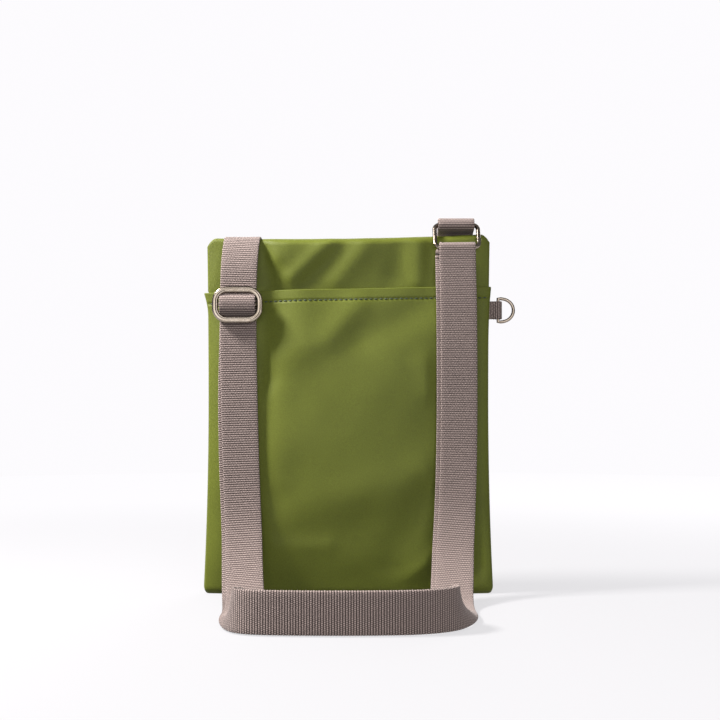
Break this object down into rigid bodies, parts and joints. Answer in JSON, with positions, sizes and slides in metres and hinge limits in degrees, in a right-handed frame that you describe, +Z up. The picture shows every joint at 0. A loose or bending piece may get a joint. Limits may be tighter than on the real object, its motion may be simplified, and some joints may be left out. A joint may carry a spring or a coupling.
{
  "type": "crossbody purse",
  "caption": "Flat nylon crossbody bag with a slip pocket, a zipped compartment and an adjustable webbing shoulder strap on metal rings.",
  "frame": {"origin": "centre of the base, on the surface that the bag stands on", "axes": "+Z up, +X towards the side with the small D-ring, -Y out of the slip pocket's face, +Y out of the zip's face"},
  "size_m": [0.216, 0.1625, 0.2597],
  "materials": {
    "nylon": "matte woven nylon, soft sheen",
    "lining": "plain woven lining",
    "webbing": "ribbed webbing",
    "nickel": "satin antique nickel",
    "zip_tape": "twill tape",
    "zip_coil": "nylon coil"
  },
  "bodies": {
    "bag": {"back_panel": "nylon", "front_panel": "nylon", "pocket_panel": "nylon", "lining_pocket_side": "lining", "lining_zip_side": "lining", "zip_tape_upper": "zip_tape", "zip_tape_lower": "zip_tape", "zip_teeth_upper": "zip_coil", "zip_teeth_lower": "zip_coil", "zip_bottom_stop": "nickel", "zip_top_stop_upper": "nickel", "zip_top_stop_lower": "nickel", "strap_upper_layer": "webbing", "strap_under_layer": "webbing", "ring_tab": "webbing", "side_ring_tab": "webbing"},
    "adjuster": {"adjuster_frame": "nickel", "adjuster_bar": "nickel", "adjuster_loop": "webbing"},
    "ring": {"strap_ring": "nickel", "ring_loop": "webbing"},
    "side_ring": {"side_d_ring": "nickel"},
    "zip_slider": {"zip_slider_body": "nickel"},
    "zip_pull": {"zip_pull_link": "nickel", "zip_pull_tab": "nickel"}
  },
  "joints": [
    {"name": "adjuster_slide", "type": "slide", "parent": "bag", "child": "adjuster", "axis": [0.012, -0.0093, -0.9999], "range_m": [-0.008, 0.105]},
    {"name": "ring_hinge", "type": "hinge", "parent": "bag", "child": "ring", "pos_m": [0.0745, -0.0016, 0.255], "axis": [-1, 0, 0], "range_deg": [0, 100]},
    {"name": "side_ring_hinge", "type": "hinge", "parent": "bag", "child": "side_ring", "pos_m": [0.1038, 0, 0.196], "axis": [0, 0, 1], "range_deg": [-80, 80]},
    {"name": "zip_slide", "type": "slide", "parent": "bag", "child": "zip_slider", "axis": [-1, 0, 0], "range_m": [0, 0.13]},
    {"name": "zip_pull_hinge", "type": "hinge", "parent": "zip_slider", "child": "zip_pull", "pos_m": [0.067, 0.01214, 0.2], "axis": [1, 0, 0], "range_deg": [0, 165]}
  ]
}
